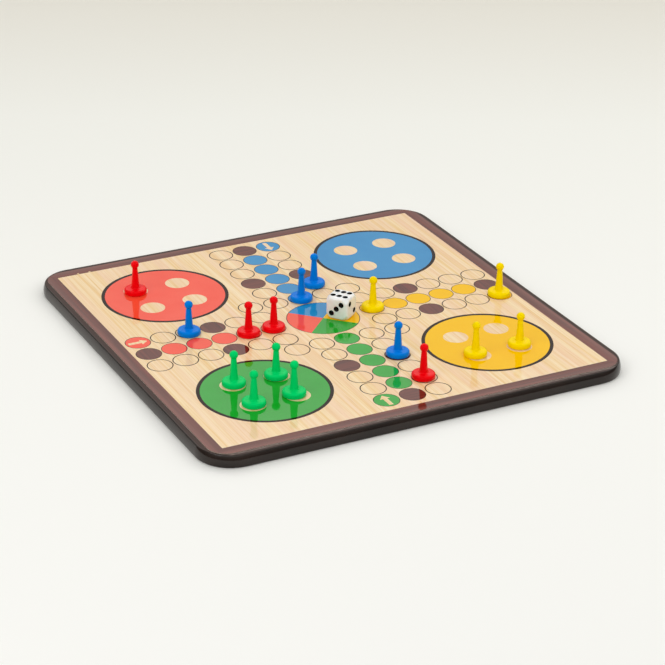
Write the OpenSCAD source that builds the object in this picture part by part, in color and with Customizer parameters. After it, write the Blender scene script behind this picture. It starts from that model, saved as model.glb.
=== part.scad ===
// Ludo board: a lacquered slab with a printed playing sheet, sixteen pawns and a die.
// Millimetres. +Z up, origin under the middle of the board, +X to the yellow arm, +Y to the blue arm.

/* [Track] */
// Diameter of a track cell over its outline
cell_d = 17.4; // [16.6:0.1:18.4]
// Gap between neighbouring cells along an arm
cell_gap = 0.66; // [0.4:0.02:2.5]
// Gap between the three lanes of an arm
lane_gap = 1.2; // [0.8:0.1:3]
// Gap from the four corner cells to the lanes of the front and back arms
corner_gap_x = 1.3; // [0.3:0.05:2.5]
// Gap from the four corner cells to the lanes of the left and right arms
corner_gap_y = 0.1; // [0.05:0.05:2.5]
// Width of the printed outline of a blank cell
line_w = 0.7; // [0.4:0.05:1]
// Width of the printed outline of a coloured cell and of the disc in the middle
tint_line_w = 0.45; // [0.3:0.05:0.8]

/* [Start arrows] */
// Length of the arrow in a start cell
arrow_l = 13.4; // [10:0.2:14.4]
// Width of the arrow's shaft
arrow_shaft_w = 3; // [2:0.1:4.4]
// Width of the arrow's head
arrow_head_w = 7.2; // [5.4:0.1:9]
// Length of the arrow's head
arrow_head_l = 4.6; // [3:0.1:6]

/* [Centre] */
// Diameter of the four-colour disc in the middle
pie_d = 50; // [46:0.5:54]
// Gap from that disc to the left and right arms
pie_gap_x = 3.6; // [2:0.1:6]
// Gap from that disc to the front and back arms
pie_gap_y = 1.3; // [1:0.1:4]

/* [Homes] */
// Diameter of a home over its ring
home_d = 87.6; // [80:0.2:92]
// Width of the ring round a home
home_ring_w = 2.4; // [1:0.1:4]
// Gap from the lanes to the homes, left and right
home_gap_x = 10.6; // [9:0.1:14]
// Gap from the lanes to the homes, front and back
home_gap_y = 8.7; // [8:0.1:14]
// Diameter of a standing spot in a home
spot_d = 16.9; // [15.8:0.1:18]
// Distance between the spots of a home, left to right
spot_pitch_x = 31.2; // [24:0.2:36]
// Distance between the spots of a home, front to back
spot_pitch_y = 30.2; // [24:0.2:36]

/* [Slab and sheets] */
// Margin from the outermost cells to the brown border
field_margin = 1.9; // [1:0.1:5]
// Width of the brown border
border_w = 8.4; // [5:0.1:12]
// Width of the dark rim that the printed sheet leaves bare, out to the fullest part of the side
rim_w = 4.8; // [4.4:0.1:7]
// Radius of the board's corners, seen from above
corner_r = 24; // [18:0.5:30]
// How much tighter the printed sheet turns its corners than the board does
corner_step = 10.5; // [3:0.5:11]
// Thickness of the slab
slab_t = 8.5; // [7:0.1:10]
// Radius of the arc in which the slab's side swells
swell_r = 12; // [9:0.5:14]
// Height of the fullest part of that arc above the slab's underside
swell_z = 3.0; // [2:0.1:4]
// Rounding of the slab's upper edge
upper_round = 0.7; // [0.4:0.1:1.2]
// Rounding of the slab's lower edge
lower_round = 0.7; // [0.4:0.1:1.2]
// Thickness of the paper under the print
paper_t = 0.2; // [0.15:0.01:0.5]
// Thickness of the print and its lacquer
print_t = 0.1; // [0.08:0.01:0.2]
// Thickness of the plain sheet on the underside
backing_t = 0.2; // [0.15:0.01:0.5]

/* [Pawns] */
// Height of a pawn
pawn_h = 24; // [21.6:0.1:28]
// Diameter of a pawn's foot
foot_d = 15.6; // [13.6:0.1:16.4]
// Height of a pawn's foot
foot_h = 3.9; // [3.2:0.1:5]
// Rounding of the foot's upper edge
foot_upper_round = 1.7; // [0.4:0.1:2]
// Rounding of the foot's lower edge
foot_lower_round = 0.9; // [0.3:0.1:1.2]
// Diameter of the stem where it leaves the foot
stem_d = 5.6; // [5:0.1:6.6]
// Diameter of the stem under the ball
neck_d = 3.5; // [3.2:0.1:4.6]
// Fillet between the stem and the foot
stem_fillet = 0.9; // [0.4:0.1:1.4]
// Diameter of the ball
ball_d = 5.6; // [5:0.1:6.8]
// Wall left round the hollow underside
pawn_wall = 1.5; // [1.1:0.05:1.8]
// Height to which the stem is cored out
core_h = 12; // [7:0.2:14]

/* [Die] */
// Edge length of the die
die_a = 16; // [15.2:0.2:18]
// Rounding of the die's edges
die_edge_r = 2; // [1:0.1:2.4]
// Depth turned off each corner of the die, along its diagonal
die_corner_cut = 2.5; // [1.8:0.05:2.8]
// Diameter of a pip at the surface
pip_d = 3.7; // [3:0.1:4]
// Depth of a pip
pip_depth = 0.9; // [0.6:0.05:1.1]
// Distance from the middle of a corner pip to the side of the die
pip_inset = 4.5; // [4.2:0.05:4.7]
// Distance between the pips along a row of the six
six_pitch = 4.5; // [4.2:0.05:4.7]
// Thickness of the paint in a pip
paint_t = 0.12; // [0.08:0.01:0.25]
// Place of the die, from the middle of the board to the right
die_x = 12.8; // [8:0.2:14]
// Place of the die, from the middle of the board to the back
die_y = -1.6; // [-6:0.2:6]
// Turn of the die about the vertical
die_yaw = -52.4; // [-90:0.2:90]

/* [Hidden] */
$fn = 72;

// Cells of one lane, counted outwards from the middle as steps 0 to 5
lane_steps = 6;
// Step of the safe cells in the outer lanes
safe_step = 2;
// Lane that holds the start cell, at the outer end
start_lane = -1;
// Cut past a face, so that no skin is left
cut = 1;

// Teams in the order of their arms: right, back, left, front
teams = ["yellow", "blue", "red", "green"];
yellow = 0;
blue = 1;
red = 2;
green = 3;
arm_dirs = [[1, 0], [0, 1], [-1, 0], [0, -1]];
ink_colours = ["#efb32f", "#4089c9", "#ee5c50", "#4f9f55"];
pawn_colours = ["#ffd400", "#0067d8", "#e30a17", "#00bf55"];
wood_colour = "#efd3ab";
brown_colour = "#5d3f3d";
line_colour = "#33231d";
paper_colour = "#f1ece0";
slab_colour = "#2b2624";
backing_colour = "#39322e";
die_colour = "#f6f6f4";
paint_colour = "#121212";

// Layout of the print
cell_pitch = cell_d + cell_gap;
lane_pitch = cell_d + lane_gap;
fill_d = cell_d - 2 * line_w;
tint_fill_d = cell_d - 2 * tint_line_w;
arm_start_x = pie_d / 2 + pie_gap_x + cell_d / 2;
arm_start_y = pie_d / 2 + pie_gap_y + cell_d / 2;
corner_cell = [lane_pitch + cell_d + corner_gap_x, lane_pitch + cell_d + corner_gap_y];
lanes_half = lane_pitch + cell_d / 2;
home_centre = [lanes_half + home_gap_x + home_d / 2, lanes_half + home_gap_y + home_d / 2];
last_step = lane_steps - 1;
field_w = 2 * (arm_start_x + last_step * cell_pitch + cell_d / 2 + field_margin);
sheet_w = field_w + 2 * border_w;
sheet_r = corner_r - corner_step;
board_w = sheet_w + 2 * rim_w;

// Levels
slab_z = backing_t;
paper_z = slab_z + slab_t;
print_z = paper_z + paper_t;
top_z = print_z + print_t;

// Pawn and die
ball_z = pawn_h - ball_d / 2;
stem_top_z = ball_z - sqrt(pow(ball_d / 2, 2) - pow(neck_d / 2, 2));
die_turn_r = die_a * sqrt(3) / 2 - die_corner_cut;
pip_offset = die_a / 2 - pip_inset;
pip_ball_r = (pow(pip_d / 2, 2) + pow(pip_depth, 2)) / (2 * pip_depth);
die_faces = [
    [6, [0, 0, 0]],
    [3, [90, 0, 0]],
    [2, [90, 0, 90]],
    [4, [90, 0, 180]],
    [5, [90, 0, 270]],
    [1, [180, 0, 0]]
];

function sideways(v) = [-v.y, v.x];
function along_arm(arm, step) = (arm_dirs[arm].x == 0 ? arm_start_y : arm_start_x) + step * cell_pitch;
function cell_at(arm, lane, step) =
    arm_dirs[arm] * along_arm(arm, step) + sideways(arm_dirs[arm]) * lane * lane_pitch;
function quarter_of(team) = arm_dirs[team] - sideways(arm_dirs[team]);
function home_at(team) = [quarter_of(team).x * home_centre.x, quarter_of(team).y * home_centre.y];
function spot_at(team, side, depth) = home_at(team) + [side * spot_pitch_x, depth * spot_pitch_y] / 2;
function stem_r(z) = (stem_d + (neck_d - stem_d) * (z - foot_h) / (stem_top_z - foot_h)) / 2;

lane_cells = [for (arm = [0:3], lane = [-1:1], step = [0:last_step]) [arm, lane, step]];
corner_cells = [for (sx = [-1, 1], sy = [-1, 1]) [sx * corner_cell.x, sy * corner_cell.y]];
function is_home_lane(c) = c[1] == 0 && c[2] < last_step;
function is_start(c) = c[1] == start_lane && c[2] == last_step;
function is_brown(c) = c[1] == 0 ? c[2] == last_step : c[2] == safe_step;
function is_blank(c) = !is_home_lane(c) && !is_start(c) && !is_brown(c);

blank_places = concat([for (c = lane_cells) if (is_blank(c)) cell_at(c[0], c[1], c[2])], corner_cells);
tinted_places = [for (c = lane_cells) if (!is_blank(c)) cell_at(c[0], c[1], c[2])];
brown_places = [for (c = lane_cells) if (is_brown(c)) cell_at(c[0], c[1], c[2])];

// Where the pawns stand in the game, each a little off the middle of its cell or spot
pawn_places = [
    [
        cell_at(yellow, 0, 0) + [0, -1.2],
        cell_at(yellow, -1, 5) + [-0.7, 0.1],
        spot_at(yellow, -1, -1) + [-1.6, 1.5],
        spot_at(yellow, 1, -1) + [0.6, 1.1]
    ],
    [
        cell_at(red, -1, 3) + [-0.1, -1.9],
        cell_at(blue, 0, 0) + [-0.3, -2.3],
        cell_at(blue, -1, 1) + [-0.2, -2.3],
        cell_at(green, 1, 2) + [0.1, 0]
    ],
    [
        spot_at(red, -1, 1) + [-1.1, -2.4],
        cell_at(red, 0, 1) + [-1, -1.4],
        cell_at(red, 0, 0) + [-0.4, -1.2],
        cell_at(green, 1, 4) + [-0.8, -0.1]
    ],
    [
        spot_at(green, -1, 1) + [1.1, 0.4],
        spot_at(green, 1, 1) + [-0.9, -0.8],
        spot_at(green, -1, -1) + [0.8, 0.2],
        spot_at(green, 1, -1) + [-1.7, 1.5]
    ]
];

function pawn_name(team, i) = str(teams[team], "_pawn_", i + 1);
pawn_names = [for (team = [0:3], i = [0:3]) pawn_name(team, i)];

module rounded_square(w, r) {
    square([w, w - 2 * r], center = true);
    square([w - 2 * r, w], center = true);
    for (sx = [-1, 1], sy = [-1, 1])
        translate([sx, sy] * (w / 2 - r))
            circle(r);
}

module discs(places, d) {
    for (p = places)
        translate(p)
            circle(d = d);
}

module home_spots(team) {
    for (side = [-1, 1], depth = [-1, 1])
        translate(spot_at(team, side, depth))
            circle(d = spot_d);
}

// Arrow in a start cell, pointing inwards along its arm
module start_arrow(team) {
    neck = arrow_l / 2 - arrow_head_l;
    translate(cell_at(team, start_lane, last_step))
        rotate(90 * team + 180)
            polygon([
                [-arrow_l / 2, -arrow_shaft_w / 2],
                [neck, -arrow_shaft_w / 2],
                [neck, -arrow_head_w / 2],
                [arrow_l / 2, 0],
                [neck, arrow_head_w / 2],
                [neck, arrow_shaft_w / 2],
                [-arrow_l / 2, arrow_shaft_w / 2]
            ]);
}

module ring(d, w) {
    difference() {
        circle(d = d);
        circle(d = d - 2 * w);
    }
}

// Raises a flat drawing to the level of the print
module printed() {
    translate([0, 0, print_z])
        linear_extrude(print_t)
            children();
}

// Reach of a flat face to its edge rounding of radius r, whose middle lies dz off the middle of the swell
function flat_reach(r, dz) = corner_r - swell_r + sqrt(pow(swell_r - r, 2) - pow(dz, 2));

// Section of the slab from the middle of a corner outwards, where each rounding runs on into the swell
module slab_section() {
    upper_dz = slab_t - upper_round - swell_z;
    lower_dz = swell_z - lower_round;
    upper_x = flat_reach(upper_round, upper_dz);
    lower_x = flat_reach(lower_round, lower_dz);
    swell_top = swell_z + upper_dz * swell_r / (swell_r - upper_round);
    swell_bottom = swell_z - lower_dz * swell_r / (swell_r - lower_round);
    square([corner_r - swell_r, slab_t]);
    intersection() {
        translate([corner_r - swell_r, swell_z])
            circle(swell_r);
        translate([0, swell_bottom])
            square([corner_r, swell_top - swell_bottom]);
    }
    translate([0, slab_t - upper_round])
        square([upper_x, upper_round]);
    translate([upper_x, slab_t - upper_round])
        circle(upper_round);
    square([lower_x, lower_round]);
    translate([lower_x, lower_round])
        circle(lower_round);
}

// Fibreboard with a full, rounded side, painted
module slab() {
    straight = board_w - 2 * corner_r;
    color(slab_colour)
        translate([0, 0, slab_z]) {
            translate([-straight / 2, -straight / 2, 0])
                cube([straight, straight, slab_t]);
            for (side = [0:3])
                rotate(90 * side) {
                    translate([straight / 2, straight / 2, 0])
                        rotate([90, 0, 0])
                            linear_extrude(straight)
                                slab_section();
                    translate([straight / 2, straight / 2, 0])
                        rotate_extrude(angle = 90)
                            slab_section();
                }
        }
}

// Paper that carries the print, glued to the top of the slab
module paper_sheet() {
    color(paper_colour)
        translate([0, 0, paper_z])
            linear_extrude(paper_t)
                rounded_square(sheet_w, sheet_r);
}

// Plain sheet glued underneath, so that the slab stays flat
module backing_sheet() {
    color(backing_colour)
        linear_extrude(backing_t)
            rounded_square(sheet_w, sheet_r);
}

// Light wood field, with the blank cells, the standing spots and the arrows
module wood_print() {
    color(wood_colour)
        printed() {
            difference() {
                square(field_w, center = true);
                discs(blank_places, cell_d);
                discs(tinted_places, cell_d);
                discs([for (team = [0:3]) home_at(team)], home_d);
                circle(d = pie_d);
            }
            discs(blank_places, fill_d);
            for (team = [0:3]) {
                home_spots(team);
                start_arrow(team);
            }
        }
}

// Brown border and the brown cells
module brown_print() {
    color(brown_colour)
        printed() {
            difference() {
                rounded_square(sheet_w, sheet_r);
                square(field_w, center = true);
            }
            discs(brown_places, tint_fill_d);
        }
}

// Outlines of the cells, the homes and the disc in the middle
module line_print() {
    color(line_colour)
        printed() {
            for (p = blank_places)
                translate(p)
                    ring(cell_d, line_w);
            for (p = tinted_places)
                translate(p)
                    ring(cell_d, tint_line_w);
            for (team = [0:3])
                translate(home_at(team))
                    ring(home_d, home_ring_w);
            ring(pie_d, tint_line_w);
        }
}

// One colour: its home, its lane to the middle, its start cell and its quarter of the middle
module team_print(team) {
    color(ink_colours[team])
        printed() {
            difference() {
                translate(home_at(team))
                    circle(d = home_d - 2 * home_ring_w);
                home_spots(team);
            }
            for (step = [0:last_step - 1])
                translate(cell_at(team, 0, step))
                    circle(d = tint_fill_d);
            difference() {
                translate(cell_at(team, start_lane, last_step))
                    circle(d = tint_fill_d);
                start_arrow(team);
            }
            intersection() {
                circle(d = pie_d - 2 * tint_line_w);
                rotate(90 * team)
                    polygon([[0, 0], [pie_d, -pie_d], [pie_d, pie_d]]);
            }
        }
}

// Half section of a pawn's outside
module pawn_outline() {
    foot_r = foot_d / 2;
    fillet_r = stem_r(foot_h + stem_fillet);
    translate([0, foot_lower_round])
        square([foot_r, foot_h - foot_lower_round - foot_upper_round]);
    square([foot_r - foot_lower_round, foot_lower_round + foot_upper_round]);
    translate([0, foot_lower_round])
        square([foot_r - foot_upper_round, foot_h - foot_lower_round]);
    translate([foot_r - foot_lower_round, foot_lower_round])
        circle(foot_lower_round);
    translate([foot_r - foot_upper_round, foot_h - foot_upper_round])
        circle(foot_upper_round);
    polygon([
        [0, foot_h],
        [stem_d / 2, foot_h],
        [neck_d / 2, stem_top_z],
        [0, stem_top_z]
    ]);
    difference() {
        translate([0, foot_h])
            square([fillet_r + stem_fillet, stem_fillet]);
        translate([fillet_r + stem_fillet, foot_h + stem_fillet])
            circle(stem_fillet);
    }
    intersection() {
        translate([0, ball_z])
            circle(d = ball_d);
        translate([0, stem_top_z])
            square([ball_d, pawn_h]);
    }
}

// Half section of the hollow that keeps a pawn's walls even
module pawn_hollow() {
    foot_hollow_h = foot_h - pawn_wall;
    translate([0, -cut])
        square([foot_d / 2 - pawn_wall, foot_hollow_h + cut]);
    polygon([
        [0, -cut],
        [stem_r(foot_h) - pawn_wall, -cut],
        [stem_r(foot_h) - pawn_wall, foot_h],
        [stem_r(core_h) - pawn_wall, core_h],
        [0, core_h]
    ]);
}

// Moulded pawn, turned about its own axis
module pawn(team, place) {
    color(pawn_colours[team])
        translate([place.x, place.y, top_z])
            rotate_extrude()
                difference() {
                    pawn_outline();
                    pawn_hollow();
                }
}

// Square bar with rounded edges, one for each direction of the die
module rounded_bar() {
    translate([0, 0, -die_a / 2])
        linear_extrude(die_a)
            rounded_square(die_a, die_edge_r);
}

// Middle of the pips on one face of the die
function pip_spots(n) =
    let (p = pip_offset, l = six_pitch)
    n == 1 ? [[0, 0]]
    : n == 2 ? [[-p, p], [p, -p]]
    : n == 3 ? [[-p, -p], [0, 0], [p, p]]
    : n == 4 ? [[-p, -p], [-p, p], [p, -p], [p, p]]
    : n == 5 ? concat(pip_spots(4), pip_spots(1))
    : [for (x = [-l, 0, l], y = [-p, p]) [x, y]];

// Puts its children over each pip, with the die's face at z = 0
module at_pips() {
    for (face = die_faces)
        rotate(face[1])
            for (p = pip_spots(face[0]))
                translate([p.x, p.y, die_a / 2])
                    children();
}

// Stands the die on the board
module placed_die() {
    translate([die_x, die_y, top_z + die_a / 2])
        rotate(die_yaw)
            children();
}

module pip_ball(r) {
    translate([0, 0, pip_ball_r - pip_depth])
        sphere(r);
}

// Cube with rounded edges and turned corners
module die_body() {
    intersection() {
        rounded_bar();
        rotate([90, 0, 0])
            rounded_bar();
        rotate([0, 90, 0])
            rounded_bar();
        sphere(die_turn_r);
    }
}

// Die with its hollow pips
module die() {
    color(die_colour)
        placed_die()
            difference() {
                die_body();
                at_pips()
                    pip_ball(pip_ball_r);
            }
}

// Film of paint in each pip, ending where the die's surface does
module die_pips() {
    color(paint_colour)
        placed_die()
            intersection() {
                die_body();
                at_pips()
                    difference() {
                        intersection() {
                            pip_ball(pip_ball_r);
                            translate([-pip_d, -pip_d, -2 * pip_depth])
                                cube([2 * pip_d, 2 * pip_d, 2 * pip_depth]);
                        }
                        pip_ball(pip_ball_r - paint_t);
                    }
            }
}

slab();
paper_sheet();
backing_sheet();
wood_print();
brown_print();
line_print();
for (team = [0:3])
    team_print(team);
for (team = [0:3], i = [0:3])
    pawn(team, pawn_places[team][i]);
die();
die_pips();
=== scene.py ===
import math

import bpy
from mathutils import Matrix, Vector


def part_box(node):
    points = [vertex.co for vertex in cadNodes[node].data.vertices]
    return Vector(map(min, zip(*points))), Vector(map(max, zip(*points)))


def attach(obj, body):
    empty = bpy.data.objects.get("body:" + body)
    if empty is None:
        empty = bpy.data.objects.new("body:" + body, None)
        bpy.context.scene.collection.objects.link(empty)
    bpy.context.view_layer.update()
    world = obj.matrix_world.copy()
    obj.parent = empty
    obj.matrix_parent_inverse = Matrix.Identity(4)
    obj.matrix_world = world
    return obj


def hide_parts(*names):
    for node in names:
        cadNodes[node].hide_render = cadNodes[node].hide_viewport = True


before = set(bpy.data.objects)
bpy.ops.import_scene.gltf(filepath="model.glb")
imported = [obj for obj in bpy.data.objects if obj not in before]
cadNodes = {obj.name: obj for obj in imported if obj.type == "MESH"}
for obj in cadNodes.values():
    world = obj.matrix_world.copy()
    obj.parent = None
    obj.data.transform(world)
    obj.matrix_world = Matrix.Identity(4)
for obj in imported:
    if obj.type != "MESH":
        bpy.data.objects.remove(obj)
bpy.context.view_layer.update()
scene = bpy.context.scene
mm = 0.001
teams = ("yellow", "blue", "red", "green")


def linear(hexColour):  # sRGB hex to the linear colour that the shaders take
    parts = [int(hexColour[i:i + 2], 16) / 255 for i in (1, 3, 5)]
    return [c / 12.92 if c <= 0.04045 else ((c + 0.055) / 1.055) ** 2.4 for c in parts] + [1.0]


def addNode(tree, kind, settings=(), links=()):  # small letters are settings, others are sockets
    node = tree.nodes.new("ShaderNode" + kind)
    for key, value in dict(settings).items():
        if key == "stops":  # pairs of a place on the ramp and the colour or strength there
            ramp = node.color_ramp.elements
            while len(ramp) < len(value):
                ramp.new(1.0)
            for stop, (place, colour) in zip(ramp, value):
                stop.position = place
                stop.color = linear(colour) if isinstance(colour, str) else [colour] * 3 + [1.0]
        elif isinstance(key, str) and key[0].islower():
            setattr(node, key, value)
        else:
            node.inputs[key].default_value = value
    for key, source in dict(links).items():
        tree.links.new(source, node.inputs[key])
    return node


def compute(tree, operation, *terms):  # one step of arithmetic; each term is a number or a socket
    numbers = {i: term for i, term in enumerate(terms) if isinstance(term, (int, float))}
    sockets = {i: term for i, term in enumerate(terms) if i not in numbers}
    return addNode(tree, "Math", {"operation": operation, **numbers}, sockets).outputs[0]


def startMaterial(name, settings):  # a fresh shader, with the piece's own coordinates in metres
    material = bpy.data.materials.new(name)
    material.use_nodes = True
    tree = material.node_tree
    shader = tree.nodes["Principled BSDF"]
    for socket, value in settings.items():
        shader.inputs[socket].default_value = value
    place = addNode(tree, "TexCoord").outputs["Object"]
    return material, tree, shader, place


def grainAt(tree, place, sizes, detail=2.0, shift=0.0):  # noise about 0 to 1; one size or three, in mm
    sizes = sizes if isinstance(sizes, tuple) else (sizes,) * 3
    scale = [1 / (size * mm) for size in sizes]
    mapping = addNode(tree, "Mapping", {"Scale": scale, "Location": [shift] * 3}, {"Vector": place})
    noise = addNode(tree, "TexNoise", {"Scale": 1.0, "Detail": detail}, {"Vector": mapping.outputs[0]})
    return noise.outputs["Fac"]


def blend(tree, amount, first, second):  # colour mix; either side is a hex colour or a socket
    node = addNode(tree, "Mix", {"data_type": "RGBA"}, {"Factor": amount})
    for slot, colour in ((6, first), (7, second)):  # 6 and 7 are the colour inputs of the Mix node
        if isinstance(colour, str):
            node.inputs[slot].default_value = linear(colour)
        else:
            tree.links.new(colour, node.inputs[slot])
    return node.outputs[2]


def remap(tree, value, low, high, toLow=0.0, toHigh=1.0):  # straight change of range, clamped
    return addNode(tree, "MapRange", {"From Min": low, "From Max": high, "To Min": toLow, "To Max": toHigh},
                   {"Value": value}).outputs["Result"]


def addBump(tree, shader, height, depth):  # depth in mm for a height of 1
    bump = addNode(tree, "Bump", {"Strength": 1.0, "Distance": depth * mm}, {"Height": height})
    tree.links.new(bump.outputs["Normal"], shader.inputs["Normal"])


# Camera: a long lens a little to the left of the front, as in the photograph; mm and degrees
cameraSetup = {"lens": 125.0, "distance": 1541.0, "azimuth": -27.39, "elevation": 25.61, "roll": -0.80,
               "target": (-4.7, -23.1, 9.1)}


def makeCamera():
    azimuth, elevation, roll = (math.radians(cameraSetup[k]) for k in ("azimuth", "elevation", "roll"))
    toCamera = Vector((math.sin(azimuth) * math.cos(elevation),
                       -math.cos(azimuth) * math.cos(elevation), math.sin(elevation)))
    right = Vector((0, 0, 1)).cross(toCamera).normalized()
    up = toCamera.cross(right)
    tilted = Matrix((right, up, toCamera)).transposed() @ Matrix.Rotation(-roll, 3, "Z")
    camera = bpy.data.objects.new("camera", bpy.data.cameras.new("camera"))
    camera.data.lens = cameraSetup["lens"]
    camera.matrix_world = Matrix.Translation(
        (Vector(cameraSetup["target"]) + toCamera * cameraSetup["distance"]) * mm) @ tilted.to_4x4()
    scene.collection.objects.link(camera)
    scene.camera = camera


makeCamera()
print("camera set")

# Studio: a dim dome with a wall of light behind the board and one before it, three soft boxes, a pale floor
# with painted shade towards the back
# Dome and walls are pairs of the sine of the elevation and the strength there; edges are cosines to the back
studio = {"dome": ((0.0, 0.08), (0.12, 0.14), (0.35, 0.36), (0.8, 0.42), (1.0, 0.46)),
          "wall": ((0.30, 0.0), (0.39, 0.38), (0.485, 0.92), (0.70, 1.6), (0.92, 0.0)),
          "front": ((0.0, 0.03), (0.37, 0.08), (0.50, 1.75), (0.66, 1.75), (0.80, 0.0)),
          "wallEdges": (0.15, 0.70), "frontEdges": (0.05, 0.60), "tint": "#fffefa",
          "boxes": {"overhead": {"place": (150, 300, 1400), "size": 1200, "power": 2.1},
                    "left": {"place": (-1120, -405, 850), "size": 800, "power": 2.6},
                    "right": {"place": (1090, -420, 850), "size": 800, "power": 2.1}},
          # painted shade on the floor: its colour steps darker from front to back over floorFade
          "floorColours": ((0.0, "#f7f7f5"), (0.35, "#f6f6f3"), (0.70, "#f2f2ed"), (1.0, "#e8e5dc")),
          "floorFade": (-400, 750), "floorHalf": 6000, "floorRoughness": 0.9, "floorGloss": 0.1}


def makeDome(behind):
    world = bpy.data.worlds.new("dome")
    world.use_nodes = True
    tree = world.node_tree
    direction = addNode(tree, "TexCoord").outputs["Generated"]
    height = addNode(tree, "SeparateXYZ", links={0: direction}).outputs["Z"]
    facing = addNode(tree, "VectorMath", {"operation": "DOT_PRODUCT", 1: behind}, {0: direction})
    glow = addNode(tree, "ValToRGB", {"stops": studio["dome"]}, {"Fac": height}).outputs["Color"]
    for name, way in (("wall", 1), ("front", -1)):  # the front one stays above what the slab's side mirrors
        bright = addNode(tree, "ValToRGB", {"stops": studio[name]}, {"Fac": height}).outputs["Color"]
        first, last = studio[name + "Edges"]
        spread = addNode(tree, "MapRange", {"interpolation_type": "SMOOTHSTEP", "From Min": first * way,
                                            "From Max": last * way}, {"Value": facing.outputs["Value"]})
        glow = compute(tree, "MULTIPLY_ADD", bright, spread.outputs["Result"], glow)
    background = tree.nodes["Background"]
    background.inputs["Color"].default_value = linear(studio["tint"])
    tree.links.new(glow, background.inputs["Strength"])
    scene.world = world


def makeSoftBoxes():
    for name, box in studio["boxes"].items():
        softBox = bpy.data.objects.new(name + "SoftBox", bpy.data.lights.new(name + "SoftBox", "AREA"))
        softBox.data.size = box["size"] * mm
        softBox.data.energy = box["power"]
        softBox.location = Vector(box["place"]) * mm
        softBox.rotation_euler = softBox.location.to_track_quat("Z", "Y").to_euler()  # faces the board
        softBox.visible_camera = False
        scene.collection.objects.link(softBox)


def makeFloor(behind):
    half = studio["floorHalf"] * mm
    corners = [(-half, -half, 0), (half, -half, 0), (half, half, 0), (-half, half, 0)]
    mesh = bpy.data.meshes.new("floor")
    mesh.from_pydata(corners, [], [(0, 1, 2, 3)])
    floor = bpy.data.objects.new("floor", mesh)
    scene.collection.objects.link(floor)
    paper, tree, shader, place = startMaterial("seamlessPaper", {
        "Roughness": studio["floorRoughness"], "Specular IOR Level": studio["floorGloss"]})
    away = addNode(tree, "VectorMath", {"operation": "DOT_PRODUCT", 1: behind}, {0: place}).outputs["Value"]
    fade = remap(tree, away, *[reach * mm for reach in studio["floorFade"]])  # painted shade: the paper's colour darkens to the back in place of light falling off
    colour = addNode(tree, "ValToRGB", {"stops": studio["floorColours"]}, {"Fac": fade}).outputs["Color"]
    tree.links.new(colour, shader.inputs["Base Color"])
    mesh.materials.append(paper)


azimuth = math.radians(cameraSetup["azimuth"])
behind = (-math.sin(azimuth), math.cos(azimuth), 0.0)  # away from the photographer
makeDome(behind)
makeSoftBoxes()
makeFloor(behind)
print("studio lit")

# Sizes and depths below are in mm; a Range is the part of the noise, about 0 to 1, that a change spans

# Lacquer poured over the print: a hard clear skin, mirror-like, with a slow ripple where it flowed out
lacquer = {"roughness": (0.035, 0.07), "wearSize": 26.0, "wearRange": (0.35, 0.75), "ior": 1.45,
           "rippleSize": 7.0, "rippleDepth": 0.012}


def lacquered(name, settings=()):
    material, tree, shader, place = startMaterial(name, {"IOR": lacquer["ior"], **dict(settings)})
    ripple = grainAt(tree, place, lacquer["rippleSize"], detail=1.0)
    addBump(tree, shader, ripple, lacquer["rippleDepth"])
    wearAndHighlight = grainAt(tree, place, lacquer["wearSize"], detail=3.0, shift=5.0)  # hands dull it in patches
    rough = remap(tree, wearAndHighlight, *lacquer["wearRange"], *lacquer["roughness"])
    tree.links.new(rough, shader.inputs["Roughness"])
    return material, tree, shader, place


# Offset inks: flat colour, with the faint cloudiness of a large printed area and a fine screen grain
inks = {"yellow": {"colour": "#f6be00", "thin": "#f8c40a", "sheen": "#ffc030", "gloss": 0.2},
        "blue": {"colour": "#1584c0", "thin": "#2a8ec6", "sheen": "#ffffff", "gloss": 0.5},
        "red": {"colour": "#f4472c", "thin": "#f7543a", "sheen": "#ffffff", "gloss": 0.5},
        "green": {"colour": "#129e1e", "thin": "#24a42e", "sheen": "#ffffff", "gloss": 0.5},
        "line": {"colour": "#1c0d08", "thin": "#26130c", "sheen": "#b89a88", "gloss": 0.2}}
inkGrain = {"cloudSize": 22.0, "screenSize": 0.9, "screenShare": 0.4, "thinRange": (0.45, 0.95)}


def inkedPaper(name):
    ink = inks[name]
    material, tree, shader, place = lacquered("lacquered" + name.capitalize() + "Ink", {
        "Specular Tint": linear(ink["sheen"]), "Specular IOR Level": ink["gloss"]})
    cloud = grainAt(tree, place, inkGrain["cloudSize"], shift=2.0)
    screen = grainAt(tree, place, inkGrain["screenSize"], detail=1.0)  # coarser than a real one, to show
    both = compute(tree, "MULTIPLY_ADD", screen, inkGrain["screenShare"], cloud)
    thin = remap(tree, both, *inkGrain["thinRange"])
    tree.links.new(blend(tree, thin, ink["colour"], ink["thin"]), shader.inputs["Base Color"])
    return material


# Printed maple decor: straight pale grain, front to back, in yellow and pink bands with thin darker pores
woodDecor = {"pale": "#f6deb6", "warm": "#eac487", "pink": "#f0c7b0", "pore": "#cc9b64",
             "lineSizes": (1.0, 110.0, 100.0), "streakSizes": (2.8, 190.0, 100.0), "toneRange": (0.80, 1.22),
             "bandSizes": (8.0, 330.0, 100.0), "bandRange": (0.42, 0.68), "bandShare": 0.5,
             "poreSizes": (0.75, 34.0, 100.0), "poreRange": (0.60, 0.75), "poreShare": 0.45}


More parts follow.
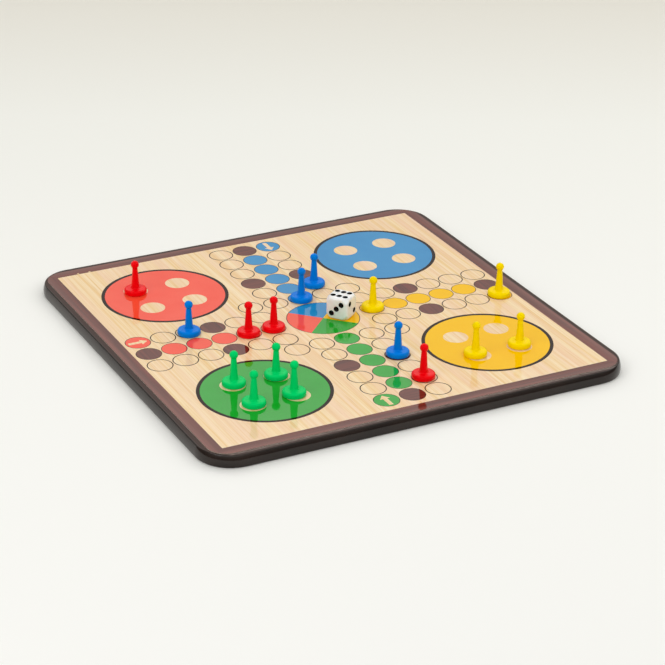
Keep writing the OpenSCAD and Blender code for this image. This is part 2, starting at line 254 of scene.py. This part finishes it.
def woodDecorPaper():
    wood = woodDecor
    material, tree, shader, place = lacquered("lacqueredMapleDecor")
    lines = grainAt(tree, place, wood["lineSizes"], detail=3.0)
    streaks = grainAt(tree, place, wood["streakSizes"], shift=3.0)
    bands = grainAt(tree, place, wood["bandSizes"], shift=7.0)
    pores = grainAt(tree, place, wood["poreSizes"], shift=11.0)
    tone = remap(tree, compute(tree, "ADD", lines, streaks), *wood["toneRange"])
    base = blend(tree, tone, wood["warm"], wood["pale"])
    pink = remap(tree, bands, *wood["bandRange"], 0.0, wood["bandShare"])
    dark = remap(tree, pores, *wood["poreRange"], 0.0, wood["poreShare"])
    grained = blend(tree, dark, blend(tree, pink, base, wood["pink"]), wood["pore"])
    tree.links.new(grained, shader.inputs["Base Color"])
    return material


# Printed mahogany decor: red-brown grain along each side of the border, with two chips in the print
mahoganyDecor = {"dark": "#4c1d15", "brown": "#5c251b", "red": "#813a2b",
                 "lineSizes": (1.1, 48.0, 100.0), "lineRange": (0.35, 0.65),
                 "streakSizes": (3.2, 75.0, 100.0), "streakRange": (0.40, 0.75), "streakShares": (0.1, 0.75),
                 "paleWearAndHighlight": "#8c6258", "wornFrom": (141.0, 146.0), "wornShare": 0.35,
                 "chip": "#d9b98a", "chips": ((-122.5, 139.3, 9.0), (-114.0, 139.0, 9.0)),
                 "chipEdge": (0.63, 0.9)}


def mahoganyDecorPaper():
    wood = mahoganyDecor
    material, tree, shader, place = lacquered("lacqueredMahoganyDecor")
    axes = addNode(tree, "SeparateXYZ", links={0: place}).outputs
    reach = [compute(tree, "ABSOLUTE", axes[i]) for i in (0, 1)]
    onSides = compute(tree, "GREATER_THAN", *reach)
    turned = addNode(tree, "CombineXYZ", links={0: axes[1], 1: axes[0]}).outputs[0]
    along = addNode(tree, "Mix", {"data_type": "VECTOR"},
                    {"Factor": onSides, 4: turned, 5: place}).outputs[1]  # 4 and 5 are the vector inputs
    lines = grainAt(tree, along, wood["lineSizes"], detail=3.0)
    streaks = grainAt(tree, along, wood["streakSizes"], shift=4.0)
    base = blend(tree, remap(tree, lines, *wood["lineRange"]), wood["dark"], wood["brown"])
    reddened = remap(tree, streaks, *wood["streakRange"], *wood["streakShares"])
    colour = blend(tree, reddened, base, wood["red"])
    outward = compute(tree, "MAXIMUM", *reach)
    paleWearAndHighlight = remap(tree, outward, *[r * mm for r in wood["wornFrom"]], 0.0, wood["wornShare"])
    colour = blend(tree, paleWearAndHighlight, colour, wood["paleWearAndHighlight"])  # paler towards the outer edge, where hands hold it
    bare, whole = (size * mm for size in wood["chipEdge"])
    for chip in wood["chips"]:  # small places where the print has lifted at the inner edge
        gap = addNode(tree, "VectorMath", {"operation": "DISTANCE", 1: [c * mm for c in chip]}, {0: place})
        lifted = remap(tree, gap.outputs["Value"], bare, whole, 1.0, 0.0)
        colour = blend(tree, lifted, colour, wood["chip"])
    tree.links.new(colour, shader.inputs["Base Color"])
    return material


def dress(node, material):  # a CAD node keeps its shape and takes this finish
    cad = cadNodes[node]
    cad.data.materials.clear()
    cad.data.materials.append(material)


dress("wood_print", woodDecorPaper())
dress("brown_print", mahoganyDecorPaper())
for ink in inks:
    dress(ink + "_print", inkedPaper(ink))
print("print dressed")

# Slab: routed fibreboard under sprayed black-brown enamel, with an orange-peel skin, a dull, rubbed rim and
# a painted highlight along the front arris
slabPaint = {"colour": "#1c130f", "thin": "#271b15", "cloudSize": 18.0, "cloudRange": (0.4, 0.75),
             "rim": "#38221a", "rimFrom": (8.58, 8.69), "roughnessRim": 0.55,
             # painted highlight: a pale, speckled line along the front arris; its colour, its band across
             # the front, and the speck sizes and range
             "paleWearAndHighlight": "#8d7b75", "highlightBand": (146.047, 147.8, 148.7), "highlightSpeckSizes": (5.0, 0.8, 0.8),
             "highlightSpeckRange": (0.30, 0.60), "ior": 1.5, "gloss": 0.40, "roughness": (0.10, 0.18),
             "fibreSizes": (0.5, 0.5, 3.0), "fibreRange": (0.3, 0.8), "peelSize": 2.2, "peelDepth": 0.02,
             "crownZ": 3.2, "crown": 0.012}


def paintedFibreboard():
    paint = slabPaint
    material, tree, shader, place = startMaterial("sprayedEnamelOnFibreboard", {
        "IOR": paint["ior"], "Specular IOR Level": paint["gloss"]})
    axes = addNode(tree, "SeparateXYZ", links={0: place}).outputs
    cloud = grainAt(tree, place, paint["cloudSize"], detail=4.0)
    side = blend(tree, remap(tree, cloud, *paint["cloudRange"]), paint["colour"], paint["thin"])
    onRim = remap(tree, axes["Z"], *[z * mm for z in paint["rimFrom"]])
    inner, crest, outer = (-reach * mm for reach in paint["highlightBand"])  # the painted highlight: a pale line along the front arris
    wearAndHighlight = remap(tree, grainAt(tree, place, paint["highlightSpeckSizes"], detail=3.0, shift=6.0), *paint["highlightSpeckRange"])
    for start in (inner, outer):
        wearAndHighlight = compute(tree, "MULTIPLY", wearAndHighlight, remap(tree, axes["Y"], start, crest))
    rim = blend(tree, wearAndHighlight, paint["rim"], paint["paleWearAndHighlight"])  # painted highlight: the front rim is painted pale in specks where its arris catches the light
    tree.links.new(blend(tree, onRim, side, rim), shader.inputs["Base Color"])

    fibre = grainAt(tree, place, paint["fibreSizes"], shift=2.0)
    dull = remap(tree, fibre, *paint["fibreRange"], *paint["roughness"])
    rubbed = compute(tree, "MULTIPLY", onRim, paint["roughnessRim"])
    tree.links.new(compute(tree, "MAXIMUM", dull, rubbed), shader.inputs["Roughness"])  # hands dull the rim

    peel = grainAt(tree, place, paint["peelSize"], detail=1.0, shift=9.0)
    skin = compute(tree, "MULTIPLY", peel, paint["peelDepth"])
    fromCrown = compute(tree, "MULTIPLY_ADD", axes["Z"], 1 / mm, -paint["crownZ"])
    fall = compute(tree, "MULTIPLY", fromCrown, -paint["crown"])
    sanded = compute(tree, "MULTIPLY_ADD", fall, fromCrown, skin)
    addBump(tree, shader, sanded, 1.0)  # sanding leaves the side a little rounder than its section
    return material


# Papers: a coated sheet, of which the pale cut edge shows, and a dull dark sheet under the slab, with fibres
papers = {"coated": {"colour": "#d6cdbf", "fibre": "#b3a594", "fibreSizes": (0.25, 0.25, 0.25)},
          "backing": {"colour": "#332d29", "fibre": "#4d453e", "fibreSizes": (0.35, 2.5, 1.0)}}
paperSurface = {"roughness": 0.8, "gloss": 0.3, "fibreRange": (0.4, 0.75), "fibreDepth": 0.03}


def plainPaper(name):
    paper = papers[name]
    material, tree, shader, place = startMaterial(name + "Paper", {
        "Roughness": paperSurface["roughness"], "Specular IOR Level": paperSurface["gloss"]})
    fibre = grainAt(tree, place, paper["fibreSizes"], detail=3.0)
    colour = blend(tree, remap(tree, fibre, *paperSurface["fibreRange"]), paper["colour"], paper["fibre"])
    tree.links.new(colour, shader.inputs["Base Color"])
    addBump(tree, shader, fibre, paperSurface["fibreDepth"])
    return material


dress("slab", paintedFibreboard())
dress("paper_sheet", plainPaper("coated"))
dress("backing_sheet", plainPaper("backing"))
print("slab dressed")

# Pawns: injection-moulded polystyrene, coloured through, softly glossy, with the mould's line up both sides
pawnPlastic = {"yellow": {"colour": "#ffe000", "gloss": 0.08}, "blue": {"colour": "#007ee4", "gloss": 0.18},
               "red": {"colour": "#f4000c", "gloss": 0.40}, "green": {"colour": "#00d56e", "gloss": 0.12}}
pawnSkin = {"roughness": (0.2, 0.34), "size": 4.0, "range": (0.3, 0.7), "depth": 0.003, "ior": 1.5,
            "paleGlint": 0.12}  # how far a glint is paler than the plastic
pawnShape = {"height": 24.0, "footD": 15.6, "footH": 3.9, "footUpperRound": 1.7, "footLowerRound": 0.9,
             "stemD": 5.6, "neckD": 3.5, "stemFillet": 0.9, "ballD": 5.6, "wall": 1.5, "coreH": 12.0,
             "stemRings": (2, 5, 9), "around": 64, "seamHeight": 0.05, "seamAngles": (0.4, 1.3),
             "turnEach": 37.0, "turnTeam": 11.0, "sharpFrom": 40.0}


def mouldedPolystyrene(team):
    colour = linear(pawnPlastic[team]["colour"])
    material, tree, shader, place = startMaterial("moulded" + team.capitalize() + "Polystyrene", {
        "IOR": pawnSkin["ior"], "Base Color": colour, "Specular IOR Level": pawnPlastic[team]["gloss"],
        "Specular Tint": [c + (1 - c) * pawnSkin["paleGlint"] for c in colour]})
    skin = grainAt(tree, place, pawnSkin["size"], detail=3.0)
    tree.links.new(remap(tree, skin, *pawnSkin["range"], *pawnSkin["roughness"]), shader.inputs["Roughness"])
    addBump(tree, shader, skin, pawnSkin["depth"])
    return material


def arc(centre, radius, first, last, steps):  # points on a circle in the section, angles in degrees
    turns = [math.radians(first + (last - first) * i / steps) for i in range(steps + 1)]
    return [(centre[0] + radius * math.cos(t), centre[1] + radius * math.sin(t)) for t in turns]


def pawnSection():  # from the top of the ball down the outside, and how many of its points are outside
    s = pawnShape
    ballR, neckR, footR = s["ballD"] / 2, s["neckD"] / 2, s["footD"] / 2
    ballZ = s["height"] - ballR
    neckDrop = math.degrees(math.acos(neckR / ballR))
    stemTop = ballZ - ballR * math.sin(math.radians(neckDrop))

    def stemR(z):
        return (s["stemD"] + (s["neckD"] - s["stemD"]) * (z - s["footH"]) / (stemTop - s["footH"])) / 2

    fillet, upper, lower = s["stemFillet"], s["footUpperRound"], s["footLowerRound"]
    filletX = stemR(s["footH"] + fillet) + fillet
    outside = arc((0, ballZ), ballR, 90, -neckDrop, steps=16)[1:]
    outside += [(stemR(stemTop - drop), stemTop - drop) for drop in s["stemRings"]]
    outside += arc((filletX, s["footH"] + fillet), fillet, 180, 270, steps=6)
    outside += [((filletX + footR - upper) / 2, s["footH"])]
    outside += arc((footR - upper, s["footH"] - upper), upper, 90, 0, steps=7)
    outside += arc((footR - lower, lower), lower, 0, -90, steps=6)
    coreR, roof = stemR(s["footH"]) - s["wall"], s["footH"] - s["wall"]
    inside = [(footR - s["wall"], 0), (footR - s["wall"], roof), (coreR, roof), (coreR, s["footH"]),
              (stemR(s["coreH"]) - s["wall"], s["coreH"])]
    return outside + inside, len(outside)


def makePawn(team, number, plastic):
    node = team + "_pawn_" + str(number)
    low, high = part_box(node)
    foot = Vector(((low.x + high.x) / 2, (low.y + high.y) / 2, low.z))
    section, outsideCount = pawnSection()
    top, roof = pawnShape["height"], section[-1][1]
    crest, base = pawnShape["seamAngles"]
    step = 360 / pawnShape["around"]
    half = [-base, -crest, crest, base] + [step * i for i in range(1, pawnShape["around"] // 2)]
    turn = pawnShape["turnEach"] * number + pawnShape["turnTeam"] * teams.index(team)  # no two lines alike
    angles = [(a + side, abs(a) == crest) for side in (0, 180) for a in half]
    points = [foot + Vector((0, 0, top)) * mm]
    for i, (r, z) in enumerate(section):
        for angle, onSeam in angles:
            raised = r + (pawnShape["seamHeight"] if onSeam and i < outsideCount - 1 else 0)
            a = math.radians(angle + turn)
            points.append(foot + Vector((raised * math.cos(a), raised * math.sin(a), z)) * mm)
    points.append(foot + Vector((0, 0, roof)) * mm)
    n, last = len(angles), len(points) - 1
    faces = [(0, 1 + j, 1 + (j + 1) % n) for j in range(n)]
    for i in range(len(section) - 1):
        ring, after = 1 + i * n, 1 + (i + 1) * n  # where two neighbouring rings of points start
        faces += [(ring + j, after + j, after + (j + 1) % n, ring + (j + 1) % n) for j in range(n)]
    end = 1 + (len(section) - 1) * n
    faces += [(end + j, last, end + (j + 1) % n) for j in range(n)]
    mesh = bpy.data.meshes.new(node + "_moulded")
    mesh.from_pydata(points, [], faces)
    mesh.polygons.foreach_set("use_smooth", [True] * len(mesh.polygons))
    mesh.set_sharp_from_angle(angle=math.radians(pawnShape["sharpFrom"]))
    mesh.materials.append(plastic)
    pawn = bpy.data.objects.new(node + "_moulded", mesh)
    scene.collection.objects.link(pawn)
    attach(pawn, node)
    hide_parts(node)


for team in teams:
    plastic = mouldedPolystyrene(team)
    for number in range(1, 5):
        makePawn(team, number, plastic)
print("pawns moulded")

# Die: tumbled white acrylic that light soaks into, with black enamel in the pips
dieFinish = {"body": "#fafaf6", "ior": 1.49, "soak": 2.0, "soakColours": (1.0, 0.95, 0.9),
             "roughness": (0.12, 0.3), "scuffSize": 2.5, "scuffRange": (0.45, 0.75)}
pipFinish = {"colour": "#040404", "thin": "#0b0a0a", "ior": 1.5, "gloss": 0.1, "roughness": 0.1,
             "skinSize": 0.5, "skinRange": (0.4, 0.8)}


def tumbledAcrylic():
    material, tree, shader, place = startMaterial("tumbledAcrylic", {
        "IOR": dieFinish["ior"], "Base Color": linear(dieFinish["body"]), "Subsurface Weight": 1.0,
        "Subsurface Radius": dieFinish["soakColours"], "Subsurface Scale": dieFinish["soak"] * mm})
    scuff = grainAt(tree, place, dieFinish["scuffSize"], detail=5.0)
    rough = remap(tree, scuff, *dieFinish["scuffRange"], *dieFinish["roughness"])
    tree.links.new(rough, shader.inputs["Roughness"])
    return material


def pipEnamel():
    material, tree, shader, place = startMaterial("pipEnamel", {
        "IOR": pipFinish["ior"], "Roughness": pipFinish["roughness"],
        "Specular IOR Level": pipFinish["gloss"]})
    skin = grainAt(tree, place, pipFinish["skinSize"], detail=1.0)
    colour = blend(tree, remap(tree, skin, *pipFinish["skinRange"]), pipFinish["colour"], pipFinish["thin"])
    tree.links.new(colour, shader.inputs["Base Color"])
    return material


dress("die", tumbledAcrylic())
dress("die_pips", pipEnamel())
print("die dressed")

scene.view_settings.view_transform = "Standard"
